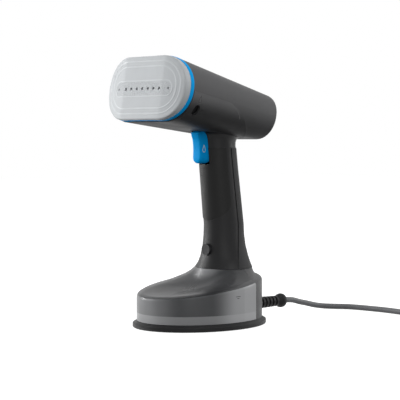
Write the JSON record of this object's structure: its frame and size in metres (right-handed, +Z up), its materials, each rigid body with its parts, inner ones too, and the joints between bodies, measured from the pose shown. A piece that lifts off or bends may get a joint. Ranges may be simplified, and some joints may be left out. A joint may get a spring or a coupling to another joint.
{
  "type": "garment steamer",
  "caption": "Upright handheld garment steamer: wide oval steam plate on a tilted head, trigger handle, clear smoke-grey water tank in an oval foot, and a coiled mains cord.",
  "frame": {"origin": "middle of the oval foot on the table, at the underside of its rubber sole", "axes": "+Z up, -Y the way the steam plate faces, +X across the head to the steamer's left as seen from the plate"},
  "size_m": [0.2381, 0.3826, 0.2662],
  "materials": {
    "housing": "satin dark grey",
    "head_grey": "satin mid grey",
    "soft_grip": "matt",
    "accent_blue": "glossy blue",
    "plate": "satin coated",
    "tank": "clear smoke-grey plastic",
    "cast": "as cast",
    "steel": "bright",
    "inner_plastic": "plain moulded",
    "light_plastic": "plain moulded",
    "hose": "translucent silicone",
    "seal": "matt",
    "copper": "taped winding",
    "board": "solder mask",
    "cord": "satin",
    "black_rubber": "satin"
  },
  "bodies": {
    "housing": {"foot_base": "housing", "bottom_plate": "inner_plastic", "foot_sole": "seal", "base_screws": "steel", "handle_shell": "housing", "grip_insert": "soft_grip", "spine_cover": "head_grey", "saddle": "head_grey", "barrel_shell": "head_grey", "accent_ring": "accent_blue", "steam_plate": "plate", "plate_carrier": "inner_plastic", "steam_generator": "cast", "generator_cover": "cast", "heating_element": "steel", "thermostat": "light_plastic", "thermal_fuse": "light_plastic", "generator_screws": "steel", "pump_body": "light_plastic", "pump_coil": "copper", "pump_mounts": "inner_plastic", "inlet_hose": "hose", "steam_hose": "hose", "tank_spigot": "steel", "spigot_seal": "seal", "microswitch": "inner_plastic", "trigger_bracket": "inner_plastic", "trigger_pin": "steel", "control_board": "board", "cord_clamp": "inner_plastic", "strain_relief": "black_rubber", "trigger_spring": "steel", "button_spring": "steel", "power_cord": "cord", "cord_coil": "cord", "cord_tail": "cord", "cord_tie": "black_rubber", "plug_body": "black_rubber", "plug_pins": "steel"},
    "trigger": {"trigger": "accent_blue"},
    "plunger": {"switch_plunger": "light_plastic"},
    "button": {"release_button": "inner_plastic"},
    "latch": {"tank_latch": "inner_plastic"},
    "tank": {"water_tank": "tank", "fill_neck": "tank", "tank_valve": "inner_plastic"},
    "fill_plug": {"fill_plug": "inner_plastic"}
  },
  "joints": [
    {"name": "trigger_hinge", "type": "hinge", "parent": "housing", "child": "trigger", "pos_m": [0, 0.002, 0.2], "axis": [1, 0, 0], "range_deg": [0, 5.5], "stiffness_Nm_per_rad": 0.4},
    {"name": "plunger_slide", "type": "slide", "parent": "housing", "child": "plunger", "axis": [0, 1, 0], "range_m": [0, 0.0012]},
    {"name": "button_slide", "type": "slide", "parent": "housing", "child": "button", "axis": [0, 1, 0], "range_m": [0, 0.002], "stiffness_N_per_m": 400},
    {"name": "latch_slide", "type": "slide", "parent": "housing", "child": "latch", "axis": [0, 0, 1], "range_m": [0, 0.002]},
    {"name": "tank_slide", "type": "slide", "parent": "housing", "child": "tank", "axis": [0, -1, 0], "range_m": [0, 0.11]},
    {"name": "fill_plug_slide", "type": "slide", "parent": "tank", "child": "fill_plug", "axis": [0, 0, 1], "range_m": [0, 0.007]}
  ],
  "couplings": [
    {"joint": "plunger_slide", "follows": "trigger_hinge", "m_per_rad": 0.0115},
    {"joint": "latch_slide", "follows": "button_slide", "ratio": 1}
  ]
}
